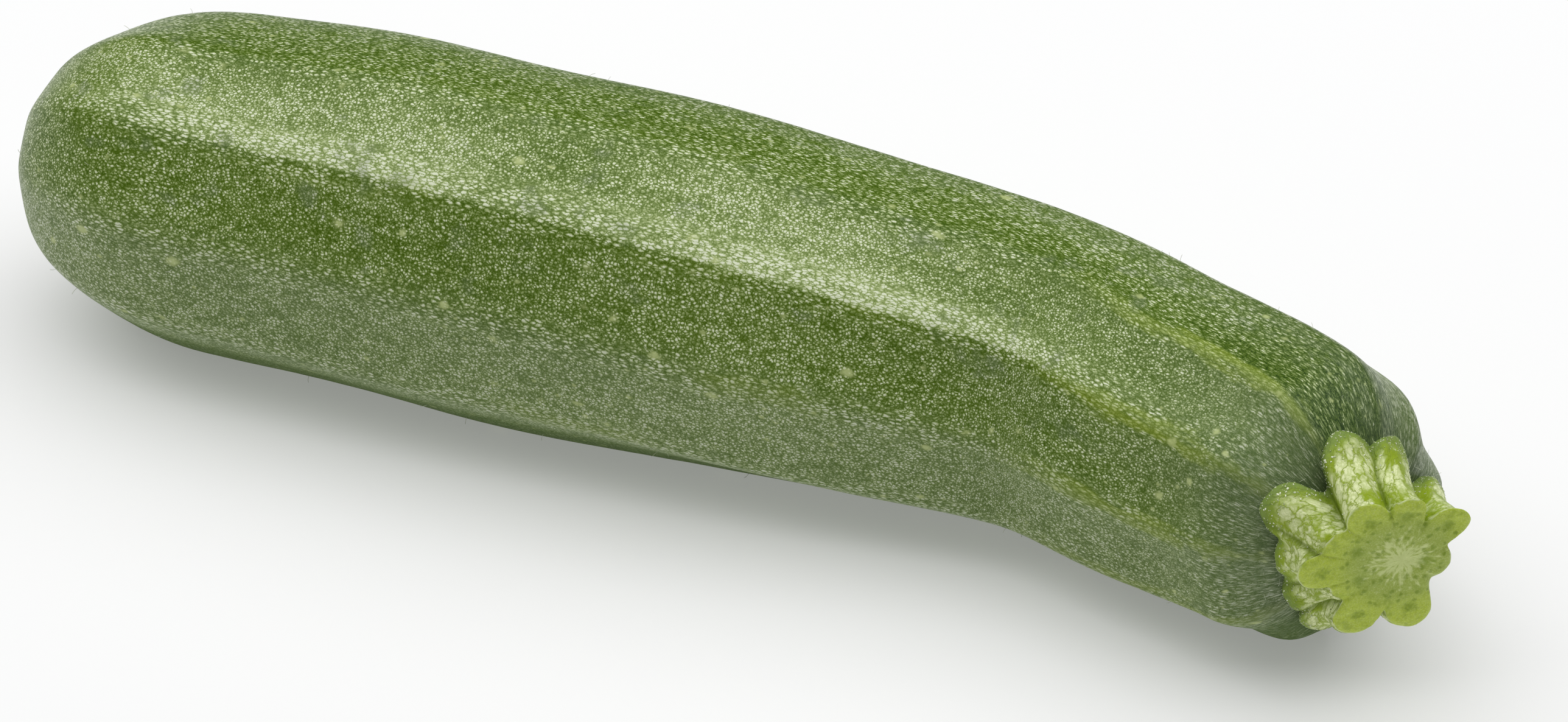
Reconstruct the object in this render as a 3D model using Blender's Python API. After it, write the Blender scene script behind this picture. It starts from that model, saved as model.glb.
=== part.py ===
"""A courgette as picked: one ribbed, gently bent fruit with its cut stem, lying on its belly.

Units are metres. +X runs along the fruit from the blossom end to the stem, +Z is up, and the origin is on
the resting surface, under the middle of the whole. Every surface point of the fruit is its centreline plus
a radius: the barrel's radius there, rounded off at both ends, plus the ribs. The stem grows out of the
fruit's shoulder as a bundle of rounded fingers, which narrow and turn on their way to the oblique cut.
"""

from bisect import bisect_right
from math import atan2, cos, exp, pi, radians, sin, sqrt, tau

import bmesh
import bpy
from mathutils import Vector

MM = 0.001
UP = Vector((0, 0, 1))

# Centreline from the blossom end to under the stem, in millimetres: x, y, z and the barrel's radius.
# The belly would reach a little below the surface, and is flattened there, so that the fruit lies still
STATIONS = [
    (-106.5, -6.8, 21.0, 23.6),
    (-79.0, -6.3, 22.5, 23.3),
    (-46.0, -3.4, 23.6, 24.0),
    (-11.0, 0.1, 23.6, 24.1),
    (21.0, 4.9, 22.0, 22.3),
    (45.0, 7.8, 20.4, 20.6),
    (63.0, 4.0, 20.0, 20.0),
    (79.0, -0.3, 20.4, 18.9),
    (92.2, -7.6, 22.2, 17.5),
]
STEPS_BETWEEN_STATIONS = 24

# Both ends are rounded like a superellipse: how long, how blunt, and what share of the rings they take
BLOSSOM_DOME_LENGTH = 32 * MM
BLOSSOM_DOME_POWER = 2.15
BLOSSOM_DOME_SHARE = 0.28
STEM_DOME_LENGTH = 13 * MM
STEM_DOME_POWER = 2.5
STEM_DOME_SHARE = 0.20

# The scar where the flower sat: a shallow dish with a soft rim
SCAR_RADIUS = 5.2 * MM
SCAR_DEPTH = 0.8 * MM

# Ten ribs; every other one is a main rib. The first main rib faces up and to the -Y side
RIB_COUNT = 10
RIB_ANGLE_AT_BLOSSOM = radians(55)
RIB_TWIST = radians(-19)
RIB_ROUNDING = 0.18
RIB_MIDDLE = 0.4
RIB_HEIGHT_AT_BLOSSOM = 0.9 * MM
RIB_HEIGHT_AT_STEM = 1.7 * MM
MAIN_RIB_EXTRA_AT_BLOSSOM = 0.15 * MM
MAIN_RIB_EXTRA_AT_STEM = 0.55 * MM

# Slow unevenness of the growth: height, waves along the fruit, waves round it, phase
LUMPS = [
    (0.28 * MM, 2.3, 2, 0.4),
    (0.22 * MM, 4.1, 3, 2.1),
    (0.16 * MM, 6.7, 1, 4.4),
]

FRUIT_SEGMENTS = 80
FRUIT_RINGS = 40

# The stem's fingers: angle and reach on the fruit's shoulder, angle and reach in the cut, half the width in
# the cut. Angles are in degrees from the -Y side upward, as the ribs' are, and reaches in millimetres
FINGERS = [
    (37, 15.0, 17, 10.0, 2.6),
    (79, 14.2, 55, 11.1, 2.6),
    (115, 12.8, 91, 10.0, 2.5),
    (170, 13.3, 137, 10.2, 2.4),
    (220, 12.5, 190, 6.2, 2.6),
    (260, 12.5, 258, 11.9, 2.8),
    (298, 13.2, 297, 13.5, 2.5),
    (330, 12.0, 329, 10.0, 2.2),
    (368, 11.4, 353, 13.0, 2.5),
]
FINGER_HALF_WIDTH_AT_ROOT = 3.4 * MM
STEM_CORE_AT_ROOT = 9.0 * MM
STEM_CORE_AT_CUT = 6.0 * MM
GROOVE_SHARPNESS = 9

# The middle of the cut, and which way the cut faces: its heading from +X and its rise
CUT_CENTRE = Vector((98.9, -12.2, 24.5)) * MM
CUT_HEADING = radians(-55)
CUT_RISE = radians(-5)

# The wall between root and cut: clear of the skin, swollen into toes at the root, hollowed further up
ROOT_GAP = 0.35 * MM
TOE_SWELLING = 1.0 * MM
TOE_PLACE = 0.14
WALL_HOLLOW = 0.8 * MM

STEM_SEGMENTS = 108
ROOT_RINGS = 3
WALL_RINGS = 7
CUT_RINGS = 2
BISECTION_STEPS = 30

SKIN_COLOR = (0.085, 0.16, 0.03, 1)
SKIN_ROUGHNESS = 0.35
STEM_COLOR = (0.24, 0.36, 0.07, 1)
STEM_ROUGHNESS = 0.45
SHARP_EDGE_ANGLE = radians(50)


def mix(a, b, factor):
    return a + (b - a) * factor


def spline(rows, at):
    """A Catmull-Rom curve through the rows, read at a row number that may lie between two rows."""
    last = len(rows) - 1
    first = min(int(at), last - 1)
    u = at - first
    before = rows[max(first - 1, 0)]
    after = rows[min(first + 2, last)]
    found = []
    for p0, p1, p2, p3 in zip(before, rows[first], rows[first + 1], after):
        cubic = (3 * p1 - p0 - 3 * p2 + p3) * u**3
        square = (2 * p0 - 5 * p1 + 4 * p2 - p3) * u**2
        found.append((2 * p1 + (p2 - p0) * u + square + cubic) / 2)
    return found


class Centreline:
    """The fruit's middle as a smooth curve that can be read at any distance from the blossom end."""

    def __init__(self, stations):
        count = STEPS_BETWEEN_STATIONS * (len(stations) - 1)
        rows = [spline(stations, step / STEPS_BETWEEN_STATIONS) for step in range(count + 1)]
        self.points = [Vector(row[:3]) * MM for row in rows]
        self.radii = [row[3] * MM for row in rows]
        self.reach = [0.0]
        for a, b in zip(self.points, self.points[1:]):
            self.reach.append(self.reach[-1] + (b - a).length)
        self.length = self.reach[-1]

    def at(self, distance):
        """The middle, the barrel's radius, and the section's directions to the -Y side and up."""
        step = min(max(bisect_right(self.reach, distance) - 1, 0), len(self.reach) - 2)
        u = (distance - self.reach[step]) / (self.reach[step + 1] - self.reach[step])
        middle = self.points[step].lerp(self.points[step + 1], u)
        radius = mix(self.radii[step], self.radii[step + 1], u)
        before = self.points[max(step - 1, 0)]
        after = self.points[min(step + 2, len(self.points) - 1)]
        ahead = (after - before).normalized()
        side = ahead.cross(UP).normalized()
        return middle, radius, side, side.cross(ahead)


def profile(along, length):
    """Distance from the blossom end, and share of the barrel's radius, between the poles at 0 and 1."""
    blossom_turn = min(along / BLOSSOM_DOME_SHARE, 1) * pi / 2
    stem_turn = min((1 - along) / STEM_DOME_SHARE, 1) * pi / 2
    barrel_share = 1 - BLOSSOM_DOME_SHARE - STEM_DOME_SHARE
    barrel = min(max((along - BLOSSOM_DOME_SHARE) / barrel_share, 0), 1)
    distance = BLOSSOM_DOME_LENGTH * (1 - max(cos(blossom_turn), 0) ** (2 / BLOSSOM_DOME_POWER))
    distance += (length - BLOSSOM_DOME_LENGTH - STEM_DOME_LENGTH) * barrel
    distance += STEM_DOME_LENGTH * max(cos(stem_turn), 0) ** (2 / STEM_DOME_POWER)
    share = sin(blossom_turn) ** (2 / BLOSSOM_DOME_POWER) * sin(stem_turn) ** (2 / STEM_DOME_POWER)
    return distance, share


def rib_relief(along, around):
    """How far the skin stands out from the barrel; around is 0 on the first main rib."""
    stem_ward = along**2
    crest = 1 - sqrt(sin(around * RIB_COUNT / 2) ** 2 + RIB_ROUNDING**2)
    relief = mix(RIB_HEIGHT_AT_BLOSSOM, RIB_HEIGHT_AT_STEM, stem_ward) * (crest - RIB_MIDDLE)
    extra = mix(MAIN_RIB_EXTRA_AT_BLOSSOM, MAIN_RIB_EXTRA_AT_STEM, stem_ward)
    relief += extra * cos(around * RIB_COUNT / 2)
    for height, along_waves, around_waves, phase in LUMPS:
        relief += height * sin(along_waves * tau * along + around_waves * around + phase)
    return relief


def skin_point(line, along, around):
    """A point of the fruit's skin: along runs from pole to pole, around is 0 on the first main rib."""
    distance, share = profile(along, line.length)
    middle, radius, side, up = line.at(distance)
    angle = around + RIB_ANGLE_AT_BLOSSOM + RIB_TWIST * along
    radius = share * (radius + rib_relief(along, around))
    point = middle + radius * (cos(angle) * side + sin(angle) * up)
    if along < BLOSSOM_DOME_SHARE:
        dish = sqrt(max(1 - (radius / SCAR_RADIUS) ** 2, 0))
        point += SCAR_DEPTH * dish * up.cross(side)
    point.z = max(point.z, 0)
    return point


def sphere_shape(segments, rings):
    """A unit sphere with its poles on the X axis, ready to be reshaped."""
    shape = bmesh.new()
    bmesh.ops.create_uvsphere(shape, u_segments=segments, v_segments=rings, radius=1)
    for vertex in shape.verts:
        vertex.co = vertex.co.zxy
    return shape


def place_on_sphere(vertex):
    """A sphere vertex as its place from the -X pole, 0 to 1, and its angle from the -Y side upward."""
    x, y, z = vertex.co
    return atan2(sqrt(y * y + z * z), -x) / pi, atan2(z, -y)


def finish_piece(name, shape, material, collection):
    mesh = bpy.data.meshes.new(name)
    shape.to_mesh(mesh)
    shape.free()
    mesh.shade_smooth()
    mesh.set_sharp_from_angle(angle=SHARP_EDGE_ANGLE)
    mesh.materials.append(material)
    collection.objects.link(bpy.data.objects.new(name, mesh))


def build_fruit(line, collection):
    shape = sphere_shape(FRUIT_SEGMENTS, FRUIT_RINGS)
    for vertex in shape.verts:
        along, around = place_on_sphere(vertex)
        vertex.co = skin_point(line, along, around)
    finish_piece("fruit", shape, make_material("green_skin", SKIN_COLOR, SKIN_ROUGHNESS), collection)


def finger_reach(angle, middle, reach, half_width):
    """How far a round-ended finger, growing out of the axis, reaches in a direction."""
    off = abs((angle - middle + pi) % tau - pi)
    if off >= pi / 2:
        return 0
    tip = reach - half_width
    if tip * sin(off) < half_width * cos(off):
        return tip * cos(off) + sqrt(half_width**2 - (tip * sin(off)) ** 2)
    return half_width / sin(off)


def bundle_reach(angle, fingers, core):
    """The outline round all fingers and the core between them, with soft grooves where they meet."""
    total = core**GROOVE_SHARPNESS
    for middle, reach, half_width in fingers:
        total += finger_reach(angle, middle, reach, half_width) ** GROOVE_SHARPNESS
    return total ** (1 / GROOVE_SHARPNESS)


def root_angle(cut_angle):
    """The angle on the shoulder that grows into an angle of the cut, turned evenly between two fingers."""
    pairs = [(radians(at_cut), radians(at_root)) for at_root, _, at_cut, _, _ in FINGERS]
    pairs.append((pairs[0][0] + tau, pairs[0][1] + tau))
    cut_angle = (cut_angle - pairs[0][0]) % tau + pairs[0][0]
    for (cut_a, root_a), (cut_b, root_b) in zip(pairs, pairs[1:]):
        if cut_angle <= cut_b:
            return mix(root_a, root_b, (cut_angle - cut_a) / (cut_b - cut_a))
    return cut_angle


def shoulder_point(line, angle, reach):
    """A point just clear of the fruit's shoulder, at an angle and a reach, and the way out from there."""
    low = 1 - STEM_DOME_SHARE
    high = 1
    for _ in range(BISECTION_STEPS):
        along = mix(low, high, 0.5)
        skin = skin_point(line, along, angle - RIB_ANGLE_AT_BLOSSOM - RIB_TWIST * along)
        middle, _, side, up = line.at(profile(along, line.length)[0])
        if (skin - middle).length > reach:
            low = along
        else:
            high = along
    stem_turn = (1 - along) / STEM_DOME_SHARE * pi / 2
    outward = cos(angle) * side + sin(angle) * up
    clear = cos(stem_turn) * up.cross(side) + sin(stem_turn) * outward
    return skin + ROOT_GAP * clear, outward


def build_stem(line, collection):
    """Rings from the middle of the root, over the shoulder and up the wall, to the middle of the cut."""
    fingers_at_root = []
    fingers_at_cut = []
    for at_root, root_reach, at_cut, cut_reach, half_width in FINGERS:
        fingers_at_root.append((radians(at_root), root_reach * MM, FINGER_HALF_WIDTH_AT_ROOT))
        fingers_at_cut.append((radians(at_cut), cut_reach * MM, half_width * MM))
    level = Vector((cos(CUT_HEADING), sin(CUT_HEADING), 0))
    facing = cos(CUT_RISE) * level + sin(CUT_RISE) * UP
    side = level.cross(UP)
    up = side.cross(facing)
    rings = ROOT_RINGS + WALL_RINGS + CUT_RINGS
    shape = sphere_shape(STEM_SEGMENTS, rings)
    for vertex in shape.verts:
        along, angle = place_on_sphere(vertex)
        ring = round(along * rings)
        below = root_angle(angle)
        reach = bundle_reach(below, fingers_at_root, STEM_CORE_AT_ROOT) * min(ring / ROOT_RINGS, 1)
        on_shoulder, outward = shoulder_point(line, below, reach)
        reach = bundle_reach(angle, fingers_at_cut, STEM_CORE_AT_CUT) * min((rings - ring) / CUT_RINGS, 1)
        on_cut = CUT_CENTRE + reach * (cos(angle) * side + sin(angle) * up)
        height = min(max((ring - ROOT_RINGS) / WALL_RINGS, 0), 1)
        toe = TOE_SWELLING * height / TOE_PLACE * exp(1 - height / TOE_PLACE)
        hollow = WALL_HOLLOW * sin(pi * height)
        vertex.co = on_shoulder.lerp(on_cut, height) + (toe - hollow) * outward
    finish_piece("stem", shape, make_material("stem_green", STEM_COLOR, STEM_ROUGHNESS), collection)


def make_material(name, color, roughness):
    material = bpy.data.materials.new(name)
    material.use_nodes = True
    shader = material.node_tree.nodes["Principled BSDF"]
    shader.inputs["Base Color"].default_value = color
    shader.inputs["Roughness"].default_value = roughness
    shader.inputs["Metallic"].default_value = 0
    return material


def clear_scene():
    for piece in list(bpy.data.objects):
        bpy.data.objects.remove(piece, do_unlink=True)


def main():
    clear_scene()
    collection = bpy.data.collections.new("courgette")
    bpy.context.scene.collection.children.link(collection)
    line = Centreline(STATIONS)
    build_fruit(line, collection)
    build_stem(line, collection)


main()
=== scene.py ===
# %% [markdown]
# # Dressing a courgette
# A courgette is a fruit that grew as one piece, and the piece of stem that it was cut off with. Its solids
# are already there, at their real size, in the frame that the first cell loads. This lesson gives them the
# surface of the real thing: ribs that run into the stem, a net of pale cells in a dark green skin, the scar
# where the flower sat, the wet cut through the stem, and the hairs round it.

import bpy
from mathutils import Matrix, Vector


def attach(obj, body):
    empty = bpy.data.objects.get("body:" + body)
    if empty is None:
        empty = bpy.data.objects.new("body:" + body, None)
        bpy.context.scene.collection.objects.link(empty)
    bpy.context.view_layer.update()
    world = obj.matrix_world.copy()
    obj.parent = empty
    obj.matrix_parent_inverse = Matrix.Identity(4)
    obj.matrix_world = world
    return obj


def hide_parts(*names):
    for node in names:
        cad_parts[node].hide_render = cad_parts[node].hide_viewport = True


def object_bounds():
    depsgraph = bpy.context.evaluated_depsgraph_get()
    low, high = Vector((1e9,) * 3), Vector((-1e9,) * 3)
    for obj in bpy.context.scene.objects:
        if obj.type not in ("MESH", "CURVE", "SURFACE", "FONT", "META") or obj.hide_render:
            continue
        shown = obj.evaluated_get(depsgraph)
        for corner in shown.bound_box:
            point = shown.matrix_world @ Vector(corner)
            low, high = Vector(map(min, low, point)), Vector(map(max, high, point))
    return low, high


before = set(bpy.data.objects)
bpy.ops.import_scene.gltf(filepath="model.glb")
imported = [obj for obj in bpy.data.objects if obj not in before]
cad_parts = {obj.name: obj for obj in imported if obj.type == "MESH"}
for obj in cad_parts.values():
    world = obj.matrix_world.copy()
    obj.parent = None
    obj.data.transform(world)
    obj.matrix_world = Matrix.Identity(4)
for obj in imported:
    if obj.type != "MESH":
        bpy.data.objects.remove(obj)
cad_low, cad_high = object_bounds()
cad_size = [round(side * 1000, 1) for side in cad_high - cad_low]
print("solids:", sorted(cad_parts), "size in mm:", cad_size)

# %% [markdown]
# ## The camera
# The fruit lies with its stem towards the camera, which looks down on it from the stem's side with a long
# lens. A long lens from further away keeps both ends about equally large, as in a picture made for a shop.
# The camera is placed by the point that it looks at, its heading, its height angle and its distance,
# because those four are what a photographer would change.

# %% Place the camera
from math import cos, exp, pi, radians, sin, tau

import bpy
import numpy as np
from mathutils import Vector, noise

MM = 0.001
LOOK_AT = Vector((10.9, -7.1, 22.0)) * MM
CAMERA_HEADING = radians(27.4)
CAMERA_HEIGHT_ANGLE = radians(36)
CAMERA_DISTANCE = 572 * MM

level_view = Vector((-sin(CAMERA_HEADING), cos(CAMERA_HEADING), 0))
view = cos(CAMERA_HEIGHT_ANGLE) * level_view - sin(CAMERA_HEIGHT_ANGLE) * Vector((0, 0, 1))
camera = bpy.data.objects.new("camera", bpy.data.cameras.new("camera"))
camera.data.lens = 100
camera.data.sensor_width = 36
camera.data.sensor_fit = "HORIZONTAL"
camera.data.clip_start = 0.01
camera.location = LOOK_AT - view * CAMERA_DISTANCE
camera.rotation_mode = "QUATERNION"
camera.rotation_quaternion = view.to_track_quat("-Z", "Y")
bpy.context.scene.collection.objects.link(camera)
bpy.context.scene.camera = camera
print("camera at", [round(value, 3) for value in camera.location])

# %% [markdown]
# ## A wire that does sums
# Shaders and Geometry Nodes share their Math, Vector Math and texture nodes. Adding each by hand makes a
# formula hard to read, so a small class wraps a node's output and lets Python's operators add the nodes: `1
# - mask` adds a Subtract node. The same formula then serves both kinds of tree.

# %% Wrap a node's output
class Wire:
    """One output of a node. Operators on it add the Math or Vector Math nodes that they stand for."""

    def __init__(self, bench, socket):
        self.bench = bench
        self.socket = socket

    def also(self, output):
        """Another output of the same node."""
        return Wire(self.bench, self.socket.node.outputs[output])

    def maths(self, operation, *others):
        return self.bench.maths(operation, self, *others)

    def __add__(self, other):
        return self.maths("ADD", other)

    def __radd__(self, other):
        return self.bench.maths("ADD", other, self)

    def __sub__(self, other):
        return self.maths("SUBTRACT", other)

    def __rsub__(self, other):
        return self.bench.maths("SUBTRACT", other, self)

    def __mul__(self, other):
        return self.maths("MULTIPLY", other)

    def __rmul__(self, other):
        return self.bench.maths("MULTIPLY", other, self)

    def __truediv__(self, other):
        return self.maths("DIVIDE", other)

    def __pow__(self, other):
        return self.maths("POWER", other)

    def at_least(self, other):
        return self.maths("MAXIMUM", other)

    def at_most(self, other):
        return self.maths("MINIMUM", other)

    def sine(self):
        return self.maths("SINE")

    def cosine(self):
        return self.maths("COSINE")

    def root(self):
        return self.maths("SQRT")

    def across(self, other):
        return self.maths("CROSS_PRODUCT", other)

    def length(self):
        return self.bench.node("ShaderNodeVectorMath", {"operation": "LENGTH"}, {0: self}, "Value")

    def dot(self, other):
        operands = {0: self, 1: other}
        return self.bench.node("ShaderNodeVectorMath", {"operation": "DOT_PRODUCT"}, operands, "Value")

    def part(self, axis):
        return self.bench.node("ShaderNodeSeparateXYZ", inputs={0: self}, output=axis)

    def rises(self, start, end):
        """0 at start and 1 at end, with soft ends. It falls where start is the larger."""
        limits = {"Value": self, "From Min": start, "From Max": end}
        return self.bench.node("ShaderNodeMapRange", {"interpolation_type": "SMOOTHSTEP"}, limits)


print("a wire knows", ", ".join(name for name in vars(Wire) if not name.startswith("_")))

# %% [markdown]
# ## A bench for the nodes
# A node tree under construction needs one method above all: it adds any node, sets it up, and only then
# plugs in values or wires, because some settings change which sockets a node has. The other methods are the
# nodes that this lesson uses again and again.

# %% Set up the bench
class Bench:
    """A node tree under construction."""

    def __init__(self, tree):
        self.tree = tree

    def plug(self, socket, value):
        if isinstance(value, Wire):
            self.tree.links.new(value.socket, socket)
        elif socket.type == "VECTOR" and isinstance(value, (int, float)):
            socket.default_value = (value, value, value)
        elif socket.type == "RGBA":
            socket.default_value = (*value[:3], 1)
        else:
            socket.default_value = value

    def node(self, kind, settings=None, inputs=None, output=0):
        """Any node: its settings are set first, then its inputs, and one of its outputs comes back."""
        made = self.tree.nodes.new(kind)
        for name, value in (settings or {}).items():
            if name == "stops":
                self.set_stops(made.color_ramp.elements, value)
            else:
                setattr(made, name, value)
        for name, value in (inputs or {}).items():
            self.plug(made.inputs[name], value)
        return Wire(self, made.outputs[output]) if made.outputs else None

    def set_stops(self, elements, stops):
        """A ramp's colours: it starts with two stops, and the others are added between them."""
        for place, _ in stops[1:-1]:
            elements.new(place)
        for element, (place, colour) in zip(elements, stops):
            element.position = place
            element.color = (*colour, 1)

    def maths(self, operation, *operands):
        wires = [item for item in operands if isinstance(item, Wire)]
        if any(wire.socket.type in ("VECTOR", "RGBA") for wire in wires):
            kind = "ShaderNodeVectorMath"
        else:
            kind = "ShaderNodeMath"
        return self.node(kind, {"operation": operation}, dict(enumerate(operands)))

    def vector(self, x, y, z):
        return self.node("ShaderNodeCombineXYZ", inputs={0: x, 1: y, 2: z})

    def mix(self, factor, low, high):
        """A number between two numbers."""
        return low + (high - low) * factor

    def colour(self, factor, low, high):
        """A colour between two colours."""
        return self.node("ShaderNodeMix", {"data_type": "RGBA"}, {0: factor, 6: low, 7: high}, 2)

    def clouds(self, place, size, detail=2.0, output="Fac"):
        """Soft noise from 0 to 1 whose patches are about this size."""
        texture = {"Vector": place, "Scale": 1 / size, "Detail": detail, "Roughness": 0.55}
        return self.node("ShaderNodeTexNoise", {"noise_dimensions": "3D"}, texture, output)


print("a bench can", ", ".join(name for name in vars(Bench) if not name.startswith("_")))

# %% [markdown]
# ## Trees with named inputs, grown once
# A Geometry Nodes tree is a recipe: its sizes are inputs with names, so that anybody can try another
# courgette in the modifier panel. Here each recipe is run once and its result kept as a plain mesh at the
# origin, because every later step, from the stem's root on, needs the finished points and not a live
# modifier.

# %% Grow a tree into a mesh
def open_tree(name, rows):
    """A tree with one named input for each row of name, socket type and value, and a wire from each."""
    bench = Bench(bpy.data.node_groups.new(name, "GeometryNodeTree"))
    for label, kind, _ in rows:
        bench.tree.interface.new_socket(name=label, in_out="INPUT", socket_type=kind)
    bench.tree.interface.new_socket(name="Mesh", in_out="OUTPUT", socket_type="NodeSocketGeometry")
    first = bench.node("NodeGroupInput")
    return bench, {label: first.also(label) for label, _, _ in rows}


def close_tree(bench, geometry, material):
    """Every tree ends in real points, smooth faces and its material."""
    real = bench.node("GeometryNodeRealizeInstances", inputs={"Geometry": geometry})
    smooth = bench.node("GeometryNodeSetShadeSmooth", inputs={"Geometry": real})
    painted = bench.node("GeometryNodeSetMaterial", inputs={"Geometry": smooth, "Material": material})
    bench.node("NodeGroupOutput", inputs={"Mesh": painted})


def grow(name, bench, rows):
    """The tree's result, with each row's value on its input, as a plain mesh object."""
    carrier = bpy.data.objects.new(name + "_tree", bpy.data.meshes.new(name + "_tree"))
    bpy.context.scene.collection.objects.link(carrier)
    modifier = carrier.modifiers.new("tree", "NODES")
    modifier.node_group = bench.tree
    identifiers = {item.name: item.identifier for item in bench.tree.interface.items_tree}
    for label, _, value in rows:
        modifier[identifiers[label]] = value
    evaluated = carrier.evaluated_get(bpy.context.evaluated_depsgraph_get())
    piece = bpy.data.objects.new(name, bpy.data.meshes.new_from_object(evaluated))
    bpy.data.objects.remove(carrier)
    bpy.context.scene.collection.objects.link(piece)
    print(name, "has", sum(len(face.vertices) - 2 for face in piece.data.polygons), "triangles")
    return piece


# %% [markdown]
# ## The fruit's middle line
# A courgette is a bent barrel, so its middle line says most of its shape: where it runs, and how thick the
# barrel is there. Nine stations are enough. A curve object holds them as points whose radius is the
# barrel's, and a Catmull-Rom spline in the tree runs through them, because it passes through every station
# it is given.

# %% Draw the middle line
STATIONS = [
    (-106.5, -6.8, 21.0, 23.6),
    (-79.0, -6.3, 22.5, 23.3),
    (-46.0, -3.4, 23.6, 24.0),
    (-11.0, 0.1, 23.6, 24.1),
    (21.0, 4.9, 22.0, 22.3),
    (45.0, 7.8, 20.4, 20.6),
    (63.0, 4.0, 20.0, 20.0),
    (79.0, -0.3, 20.4, 18.9),
    (92.2, -7.6, 22.2, 17.5),
]
STEPS_BETWEEN_STATIONS = 24

middle_line = bpy.data.objects.new("middle_line", bpy.data.curves.new("middle_line", "CURVE"))
middle_line.data.dimensions = "3D"
run = middle_line.data.splines.new("POLY")
run.points.add(len(STATIONS) - 1)
for point, (x, y, z, radius) in zip(run.points, STATIONS):
    point.co = (x * MM, y * MM, z * MM, 1)
    point.radius = radius * MM
bpy.context.scene.collection.objects.link(middle_line)
print("the middle line has", len(run.points), "stations")

# %% [markdown]
# ## The fruit as a rule
# The whole skin follows one rule: start from a sphere, read each point as a place along the fruit and an
# angle round it, walk that far along the middle line, and go out by the barrel's radius there plus the
# ribs. The ends are superellipse domes. A modelled cage with subdivision would give the shape too, but it
# would not know where along the fruit and how near a rib each point lies, and the skin's pattern needs
# that. These are the rule's proportions, and those that are worth trying out are the tree's inputs.

# %% Set the fruit's proportions
BLOSSOM_DOME_POWER = 2.15
BLOSSOM_DOME_SHARE = 0.28
STEM_DOME_POWER = 2.5
STEM_DOME_SHARE = 0.20
BARREL_SHARE = 1 - BLOSSOM_DOME_SHARE - STEM_DOME_SHARE

# Shares of the fine mesh's rings in each dome, and how much the rings crowd round the flower's scar
BLOSSOM_RING_SHARE = 0.22
STEM_RING_SHARE = 0.13
SCAR_CROWDING = 1.6

# The skin's own coordinates: length of skin over each dome, and the radius that the barrel is drawn with
BLOSSOM_SKIN_LENGTH = 44 * MM
STEM_SKIN_LENGTH = 25 * MM
GRAIN_RADIUS = 22 * MM

SCAR_RADIUS = 5.2 * MM
SEGMENTS = 330
RINGS = 280
skin = bpy.data.materials.new("courgette_skin")
FRUIT_INPUTS = [
    ("Middle line", "NodeSocketObject", middle_line),
    ("Segments", "NodeSocketInt", SEGMENTS),
    ("Rings", "NodeSocketInt", RINGS),
    ("Blossom dome", "NodeSocketFloat", 32 * MM),
    ("Stem dome", "NodeSocketFloat", 13 * MM),
    ("Rib height at blossom", "NodeSocketFloat", 0.9 * MM),
    ("Rib height at stem", "NodeSocketFloat", 1.7 * MM),
    ("Scar radius", "NodeSocketFloat", SCAR_RADIUS),
    ("Scar depth", "NodeSocketFloat", 0.8 * MM),
    ("Dimples", "NodeSocketFloat", 0.16 * MM),
    ("Material", "NodeSocketMaterial", skin),
]
print("the fruit's grid has", SEGMENTS, "points round it and", RINGS, "rings along it")

# %% [markdown]
# ## From the sphere to the middle line
# A sphere has a ring and an angle for every point, so it is a ready-made grid without a seam. Its rings are
# shared out unevenly, and round the flower's scar they crowd most, because the relief is finest there.
# Sampling the curve at a length then gives the middle of the section there, its direction and the barrel's
# radius.

# %% Walk the middle line
def place_on_sphere(bench):
    """Each point's share of the way along the fruit, and its angle from the first main rib."""
    x, y, z = [bench.node("GeometryNodeInputPosition").part(axis) for axis in "XYZ"]
    ring = (x * x + y * y).root().maths("ARCTAN2", z * -1) / pi
    around = y.maths("ARCTAN2", x * -1)
    along = (ring / BLOSSOM_RING_SHARE).at_most(1) ** SCAR_CROWDING * BLOSSOM_DOME_SHARE
    barrel_rings = 1 - BLOSSOM_RING_SHARE - STEM_RING_SHARE
    along += ((ring - BLOSSOM_RING_SHARE) / barrel_rings).at_least(0).at_most(1) * BARREL_SHARE
    along += ((ring - 1 + STEM_RING_SHARE) / STEM_RING_SHARE).at_least(0) * STEM_DOME_SHARE
    return along, around


def walk_middle_line(bench, size, along):
    """The section at each place, its share of the barrel's radius, and the skin's own coordinates."""
    blossom_turn = (along / BLOSSOM_DOME_SHARE).at_most(1) * (pi / 2)
    stem_turn = ((1 - along) / STEM_DOME_SHARE).at_most(1) * (pi / 2)
    barrel = ((along - BLOSSOM_DOME_SHARE) / BARREL_SHARE).at_least(0).at_most(1)
    curve = bench.node("GeometryNodeObjectInfo", inputs={"Object": size["Middle line"]}, output="Geometry")
    curve = bench.node("GeometryNodeCurveSplineType", {"spline_type": "CATMULL_ROM"}, {"Curve": curve})
    resolution = {"Geometry": curve, "Resolution": STEPS_BETWEEN_STATIONS}
    curve = bench.node("GeometryNodeSetSplineResolution", inputs=resolution)
    length = bench.node("GeometryNodeCurveLength", inputs={"Curve": curve})
    barrel_length = length - size["Blossom dome"] - size["Stem dome"]
    distance = size["Blossom dome"] * (1 - blossom_turn.cosine().at_least(0) ** (2 / BLOSSOM_DOME_POWER))
    distance += barrel_length * barrel
    distance += size["Stem dome"] * stem_turn.cosine().at_least(0) ** (2 / STEM_DOME_POWER)
    reading = {"Curves": curve, "Value": bench.node("GeometryNodeInputRadius"), "Length": distance}
    by_length = {"mode": "LENGTH", "use_all_curves": True}
    sample = bench.node("GeometryNodeSampleCurve", by_length, reading, "Value")
    blossom_share = blossom_turn.sine() ** (2 / BLOSSOM_DOME_POWER)
    share = blossom_share * stem_turn.sine() ** (2 / STEM_DOME_POWER)
    skin_length = blossom_turn * (BLOSSOM_SKIN_LENGTH * 2 / pi) + barrel_length * barrel
    skin_length += (1 - stem_turn * (2 / pi)) * STEM_SKIN_LENGTH
    return sample, share, skin_length, blossom_share * GRAIN_RADIUS


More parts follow.
